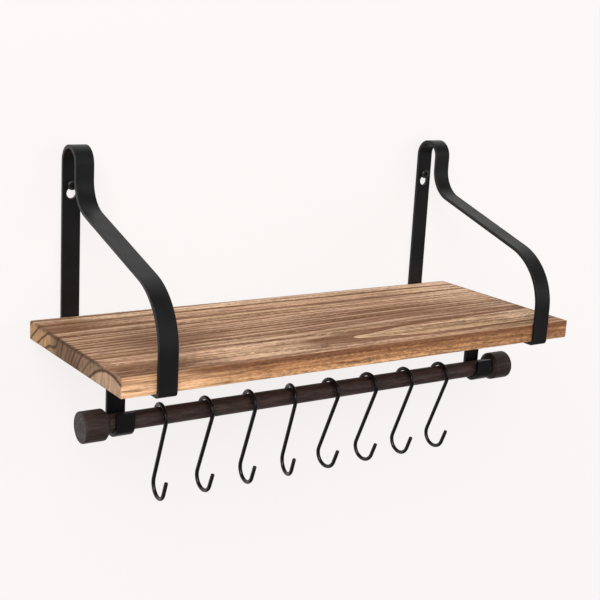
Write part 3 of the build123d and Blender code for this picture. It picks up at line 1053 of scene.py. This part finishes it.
class SHELF_OT_brackets(Operator):
    """Bends the two straps and cuts their keyholes and countersinks"""

    bl_idname = "shelf.brackets"
    bl_label = "Brackets"

    def execute(self, context):
        bracket, screws = context.scene.shelf_bracket, context.scene.shelf_screws
        coat, tree, section = powder_coat(bracket), sweep_tree(), bar_section(bracket)
        thick = bracket.strap_thickness
        for side, sign in SIDES.items():
            x = sign * STRAP_X
            source = line_source("bends", [(x, p.x, p.y) for p in strap_line(bracket)])
            strap = run_tree("strap_" + side, source, tree, Section=section, Material=coat)
            face_outwards(strap.data)
            holes = [prism(keyhole_outline(bracket, x), 1, -2 * thick, thick)]
            for places in small_screw_places().values():
                holes += [countersink(bracket, screws, px, py) for px, py, _ in places if px * sign > 0]
            strap = cut(strap, holes, bracket.rim_round)
            keep_flats(strap)
            dress(strap, "shelf", "strap_black", "bracket_" + side)
        bpy.data.objects.remove(section)
        return {"FINISHED"}


class SHELF_OT_rod(Operator):
    """Turns the towel rod and its two end caps"""

    bl_idname = "shelf.rod"
    bl_label = "Rod and Caps"

    def execute(self, context):
        rod = context.scene.shelf_rod
        stain = stained_wood(rod)
        self.turn("towel_rod", self.rod_profile(rod), ROD_LOW.x, 1, stain, "rod")
        for side, sign in SIDES.items():
            start = sign * CAP_LOW.x
            self.turn("knob_" + side, self.cap_profile(rod), start, sign, stain, "end_cap_" + side)
        return {"FINISHED"}

    def rod_profile(self, rod):
        """Rod from its left end to its right, and its softened rims."""
        span, soft = ROD_HIGH.x - ROD_LOW.x, rod.soft_edge
        first, last = (0.0, ROD_RADIUS - soft), (span, ROD_RADIUS - soft)
        stops = [soft + (span - 2 * soft) * t for t in even_steps(ROD_STEPS)]
        return [first, *[(s, ROD_RADIUS) for s in stops], last], {first, last}

    def cap_profile(self, rod):
        """Cap from the face that meets the rod to its outer face, and its rims."""
        radius, deep = (CAP_HIGH.z - CAP_LOW.z) / 2, CAP_HIGH.x - CAP_LOW.x
        slant, soft, rim = rod.cap_inner_chamfer, rod.soft_edge, rod.cap_outer_round
        inner, shoulder, outer = (0.0, radius - slant), (slant, radius), (deep, radius)
        rims = round_corner((0.0, 0.0), inner, shoulder, 2 * soft, 4)
        rims += round_corner(inner, shoulder, outer, 2 * soft, 4)
        side = [(slant + (deep - slant - 2 * rim) * t, radius) for t in even_steps(6)[1:]]
        outer_rim = round_corner(shoulder, outer, (deep, 0.0), rim, 8)
        end = [(deep, radius - rim - 2 * MM), (deep, radius / 2), (deep, radius / 6)]
        profile = [(0.0, radius - slant - 4 * soft), *rims, *side, *outer_rim, *end]
        return profile, {*rims, *outer_rim}

    def turn(self, name, shape, start, sign, stain, node):
        """Turns a profile about the rod's axis, from a start along X to one side."""
        profile, rims = shape
        points, faces = turned(profile, TURNED_SIDES)
        placed = [(start + sign * p[2], ROD_AXIS.y + p[0], ROD_AXIS.z + p[1]) for p in points]
        piece = new_object(name, placed, faces)
        mark(piece.data, "edge", np.repeat([float(point in rims) for point in profile], TURNED_SIDES))
        face_outwards(piece.data)
        piece.data.materials.append(stain)
        keep_flats(piece)
        dress(piece, "rod", "stained_wood", node)


class SHELF_OT_hooks(Operator):
    """Bends the wire hooks that hang on the rod"""

    bl_idname = "shelf.hooks"
    bl_label = "Hooks"

    def execute(self, context):
        hooks = context.scene.shelf_hooks
        lacquer, tree, section = wire_lacquer(hooks), sweep_tree(), self.wire_section(hooks)
        line, slim = self.hook_line(hooks)
        last = len(line) - 1
        wear = np.array([max(0.0, 1.0 - min(i, last - i) / WORN_POINTS) for i in range(len(line))])
        for joint in HOOK_JOINTS:
            centre, aside = Vector(joint["pos_m"]), UP.cross(Vector(joint["axis"]))
            points = [centre + aside * p.x + UP * p.y for p in line]
            source = line_source("bends", points, slim)
            wire = run_tree("wire_" + joint["child"], source, tree, Section=section, Material=lacquer)
            face_outwards(wire.data)
            self.mark_tips(wire, points, wear)
            keep_flats(wire)
            dress(wire, joint["child"], "wire_black", joint["child"])
        bpy.data.objects.remove(section)
        return {"FINISHED"}

    def mark_tips(self, wire, points, wear):
        """Marks the wire's worn tips as edges, from the nearest point of its line."""
        line = np.array([tuple(p) for p in points])
        corners = np.array([tuple(v.co) for v in wire.data.vertices])
        nearest = ((corners[:, None, :] - line[None, :, :]) ** 2).sum(2).argmin(1)
        mark(wire.data, "edge", wear[nearest])

    def wire_section(self, hooks):
        """The wire's round outline."""
        points = [hooks.wire_diameter / 2 * toward(360.0 * i / hooks.sides) for i in range(hooks.sides)]
        return new_object("wire_section", [p.to_3d() for p in points], edges=ring_edges(hooks.sides))

    def hook_line(self, hooks):
        """The wire's middle about the upper curl's centre, and the share of its thickness at each point."""
        radius, tip, tip_round = hooks.bend_radius, hooks.tip_length, hooks.tip_round
        lean = math.degrees(math.asin(2 * radius / hooks.drop))
        shank = math.sqrt(hooks.drop ** 2 - (2 * radius) ** 2)
        start = radius * toward(lean) - tip * toward(lean + 90.0)
        end = ("run", tip)
        bends = (end, ("bend", radius, 180.0), ("run", shank), ("bend", radius, -180.0), end)
        line = bend_line(start, 90.0 + lean, bends)
        thin = tip_round / (hooks.wire_diameter / 2)
        angles = [math.radians(a) for a in TIP_ANGLES]
        slim = [1.0 - thin + thin * math.sin(a) for a in angles]
        inset = [tip_round * (1.0 - math.cos(a)) for a in angles]
        head, tail = (line[1] - line[0]).normalized(), (line[-2] - line[-1]).normalized()
        first = [line[0] + head * d for d in inset]
        last = [line[-1] + tail * d for d in inset]
        clear = TIP_CLEARANCE * tip_round
        keep = [p for p in line if min((p - line[0]).length, (p - line[-1]).length) > clear]
        return [*first, *keep, *reversed(last)], [*slim, *[1.0] * len(keep), *reversed(slim)]


class SHELF_OT_screws(Operator):
    """Makes the wall screws and the small screws under the board, and plates the cap screws"""

    bl_idname = "shelf.screws"
    bl_label = "Screws"

    def execute(self, context):
        screws = context.scene.shelf_screws
        self.oxide = plated_steel("black_oxide", screws.oxide, screws.bare_steel, 0.0, 0.08)
        self.tree = set_out_tree()
        forwards = Matrix.Rotation(math.pi / 2, 4, "X")
        shape = self.wall_profile(screws)
        template = self.screw("pan_template", shape, screws.recess_length, screws, forwards)
        for side, sign in SIDES.items():
            self.set_out("pan_screw_" + side, template, [(sign * STRAP_X, 0.0, 0.0)], "wall_screw_" + side)
        bpy.data.objects.remove(template)
        downwards = Matrix.Rotation(math.pi, 4, "X")
        recess = screws.board_recess * screws.board_head_diameter
        template = self.screw("flat_template", self.board_profile(screws), recess, screws, downwards)
        for node, places in small_screw_places().items():
            self.set_out("small_" + node, template, places, node)
        bpy.data.objects.remove(template)
        zinc = plated_steel("zinc_plate", screws.zinc, screws.bare_steel, 1.0, 0.5)
        for side in SIDES:
            solid = frame["nodes"]["cap_screw_" + side]
            solid.data.materials.clear()
            solid.data.materials.append(zinc)
        return {"FINISHED"}

    def set_out(self, name, template, places, node):
        """Makes one piece of copies of a template screw at their places."""
        source = new_object("places", places)
        piece = run_tree(name, source, self.tree, Template=template, Material=self.oxide)
        keep_flats(piece)
        dress(piece, "shelf", "screw_black", node)

    def screw(self, name, shape, recess_length, screws, turn):
        """A template screw with its head towards +Z before the turn, and a cross cut in the head."""
        profile, thread, top = shape
        blank = new_object(name, *turned(profile, SCREW_SIDES, thread))
        rows = [float(top - screws.head_round < height < top - TINY) for height, _ in profile]
        mark(blank.data, "edge", np.repeat(rows, SCREW_SIDES))
        face_outwards(blank.data)
        half, arm = recess_length / 2, screws.recess_width / 2
        outline, quarter = [], [(half, -arm), (half, arm), (arm, arm)]
        for _ in range(4):
            outline += quarter
            quarter = [(-y, x) for x, y in quarter]
        cross = prism(outline, 2, top - screws.recess_depth, top + screws.recess_depth)
        template = cut(blank, [cross], 0.0)
        template.data.transform(turn)
        return template

    def wall_profile(self, screws):
        """From the point in the wall, below Z zero, to the top of the domed head, with its thread."""
        radius = WALL_SCREW_HIGH.x - STRAP_X
        base = -WALL_SCREW_LOW.y - screws.head_height
        top = base + screws.head_height
        tip = -WALL_SCREW_HIGH.y
        slim, core = screws.tip_diameter / 2, screws.shank_diameter / 2 - screws.thread_depth
        steps = int(-tip / (screws.thread_pitch / THREAD_STEPS))
        heights = [tip - tip * t for t in even_steps(steps)]

        def taper(height):
            return min(1.0, (height - tip) / screws.point)

        def thread(height, angle):
            if height > -TINY:
                return 0.0
            phase = (height / screws.thread_pitch + angle / (2 * math.pi)) % 1.0
            ridge = max(0.0, 1.0 - abs(phase - 0.5) / RIDGE_SHARE)
            return screws.thread_depth * ridge * min(taper(height), -height / screws.thread_pitch, 1.0)

        neck, bend = screws.neck_diameter / 2, screws.head_round
        profile = [(h, slim + (core - slim) * taper(h)) for h in heights]
        profile += [(0.05 * MM, neck), (base, neck), (base, radius)]
        rim = [math.pi / 2 * t for t in even_steps(HEAD_STEPS)]
        profile += [(top - bend + bend * math.sin(a), radius - bend + bend * math.cos(a)) for a in rim]
        profile += [(top, (radius - bend) * 0.9), (top, (radius - bend) * 0.2)]
        return profile, thread, top

    def board_profile(self, screws):
        """From the point in the board, below Z zero, to the flat head at Z zero."""
        head, shank = screws.board_head_diameter / 2, screws.board_shank_diameter / 2
        low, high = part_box("board_screws_front")
        tip = low.z - high.z
        profile = [(tip, 0.2 * MM), (tip + screws.board_point, shank), (shank - head, shank)]
        profile += [(-0.1 * MM, head - 0.05 * MM), (0.0, head - 0.15 * MM)]
        profile += [(0.0, head * 0.6), (0.0, head * 0.2)]
        return profile, None, 0.0


WALL_MOTTLE = (0.004, 0.004, 0.004)

# What gloss shows of the room, by the height that a ray climbs in one unit
ROOM_RISE = (-0.1, 0.4)  # where the room grows paler
WINDOW = (-0.02, 0.34, 0.14)  # where the window starts and ends, and how softly


class SHELF_OT_stage(Operator):
    """Sets up the wall and floor, the lamps, the sky and the camera"""

    bl_idname = "shelf.stage"
    bl_label = "Stage"

    def execute(self, context):
        stage = context.scene.shelf_stage
        context.scene.view_settings.view_transform = "Standard"
        self.room(stage)
        self.sky(context.scene, stage)
        self.lamp("key", stage.key_place, stage.key_size, stage.key_power)
        fill = self.lamp("fill", stage.fill_place, stage.fill_size, stage.fill_power)
        fill.visible_glossy = False
        self.camera(context.scene, stage)
        return {"FINISHED"}

    def room(self, stage):
        """Wall and floor with a cove between them; seen from behind, they aren't there."""
        back, low, cove = stage.wall_gap, -stage.floor_drop, stage.cove
        angles = [math.pi / 2 * t for t in even_steps(COVE_STEPS)]
        bend = [(back - cove + cove * math.sin(a), low + cove - cove * math.cos(a)) for a in angles]
        finish = self.wall_paint(stage)
        wall = self.sheet("wall", [bend[-1], (back, stage.room_half)], stage, finish)
        floor = self.sheet("floor", [(-stage.room_half, low), *bend], stage, finish)
        wall.visible_glossy, floor.visible_glossy = True, False

    def sheet(self, name, line, stage, finish):
        """One stretch of the room, drawn out along X, which casts and bounces no light itself."""
        points = [(x, y, z) for x in (-stage.room_half, stage.room_half) for y, z in line]
        count = len(line)
        sheet = new_object(name, points, [(i, count + i, count + i + 1, i + 1) for i in range(count - 1)])
        sheet.data.shade_smooth()
        sheet.data.materials.append(finish)
        for ray in ("diffuse", "transmission", "volume_scatter", "shadow"):
            setattr(sheet, "visible_" + ray, False)
        return sheet

    def wall_paint(self, stage):
        """Pale paint that keeps the shelf's shadow, and lets a view from behind through."""
        material, graph, shader, point = new_material("wall_paint")
        mottle = graph.fade(graph.noise(point, WALL_MOTTLE, 3.0), 0.2, 0.8, 0.985, 1.0)
        graph.join(graph.shade(stage.wall_colour, mottle), shader.inputs["Base Color"])
        shader.inputs["Roughness"].default_value = 0.9
        shader.inputs["Specular IOR Level"].default_value = 0.1
        glow = graph.put("ShaderNodeEmission", {"Color": stage.wall_colour, "Strength": 1.0})[0]
        rays = graph.put("ShaderNodeLightPath")
        lit = graph.times(graph.most(rays["Is Camera Ray"], rays["Is Glossy Ray"]), stage.wall_glow)
        mixed = graph.put("ShaderNodeMixShader", {0: lit, 1: shader.outputs[0], 2: glow})[0]
        behind = graph.put("ShaderNodeNewGeometry")["Backfacing"]
        clear = graph.put("ShaderNodeBsdfTransparent")[0]
        shown = graph.put("ShaderNodeMixShader", {0: behind, 1: mixed, 2: clear})[0]
        graph.join(shown, material.node_tree.nodes["Material Output"].inputs["Surface"])
        return material

    def sky(self, scene, stage):
        """Even light from all round; the camera sees a pale wall, and gloss a room with a window."""
        world = bpy.data.worlds.new("even_sky")
        world.use_nodes = True
        scene.world = world
        graph = Graph(world.node_tree)
        background = world.node_tree.nodes["Background"].inputs
        background["Color"].default_value = stage.wall_colour
        height = graph.split(graph.put("ShaderNodeTexCoord")["Generated"])[2]
        dim = graph.fade(height, *ROOM_RISE, stage.room_low, stage.room_high)
        room = graph.add(dim, graph.times(graph.band(height, *WINDOW), stage.room_window))
        rays = graph.put("ShaderNodeLightPath")
        seen = graph.most(rays["Is Camera Ray"], rays["Is Transmission Ray"])
        level = graph.put("ShaderNodeMapRange", {"Value": rays["Is Glossy Ray"], 3: stage.sky, 4: room})[0]
        level = graph.put("ShaderNodeMapRange", {"Value": seen, 3: level, 4: 1.0})[0]
        graph.join(level, background["Strength"])

    def lamp(self, name, location, size, power):
        """A square soft lamp that faces the shelf."""
        light = bpy.data.lights.new(name, "AREA")
        light.size = size
        light.energy = power
        lamp = bpy.data.objects.new(name, light)
        lamp.location = location
        lamp.visible_camera = False
        middle = (CAD_BOX[0] + CAD_BOX[1]) / 2
        lamp.rotation_euler = (middle - Vector(location)).to_track_quat("-Z", "Y").to_euler()
        bpy.context.scene.collection.objects.link(lamp)
        return lamp

    def camera(self, scene, stage):
        """The camera, which leans a little about its view."""
        camera = bpy.data.objects.new("camera", bpy.data.cameras.new("camera"))
        camera.data.sensor_width = 36.0
        camera.data.lens = stage.camera_lens
        view = Vector(stage.camera_aim) - Vector(stage.camera_place)
        facing = view.to_track_quat("-Z", "Y").to_matrix().to_4x4()
        lean = Matrix.Rotation(stage.camera_roll, 4, "Z")
        camera.matrix_world = Matrix.Translation(stage.camera_place) @ facing @ lean
        scene.collection.objects.link(camera)
        scene.camera = camera


class SHELF_PT_panel(Panel):
    """Lists what makes the shelf"""

    bl_idname = "SHELF_PT_panel"
    bl_label = "Strap Bracket Shelf"
    bl_space_type = "VIEW_3D"
    bl_region_type = "UI"
    bl_category = "Shelf"

    def draw(self, context):
        for operator in OPERATORS:
            self.layout.operator(operator.bl_idname)
        for name in SETTINGS:
            box = self.layout.box()
            settings = getattr(context.scene, name)
            for field in settings.__annotations__:
                box.prop(settings, field)


SETTINGS = {
    "shelf_board": BoardSettings,
    "shelf_bracket": BracketSettings,
    "shelf_rod": RodSettings,
    "shelf_hooks": HookSettings,
    "shelf_screws": ScrewSettings,
    "shelf_stage": StageSettings,
}
OPERATORS = (SHELF_OT_board, SHELF_OT_brackets, SHELF_OT_rod, SHELF_OT_hooks, SHELF_OT_screws, SHELF_OT_stage)


def register():
    for kind in (*SETTINGS.values(), *OPERATORS, SHELF_PT_panel):
        bpy.utils.register_class(kind)
    for name, kind in SETTINGS.items():
        setattr(bpy.types.Scene, name, PointerProperty(type=kind))


def unregister():
    for name in SETTINGS:
        delattr(bpy.types.Scene, name)
    for kind in reversed((*SETTINGS.values(), *OPERATORS, SHELF_PT_panel)):
        bpy.utils.unregister_class(kind)


def main():
    register()
    bpy.ops.shelf.board()
    bpy.ops.shelf.brackets()
    bpy.ops.shelf.rod()
    bpy.ops.shelf.hooks()
    bpy.ops.shelf.screws()
    bpy.ops.shelf.stage()


if __name__ == "__main__":
    main()
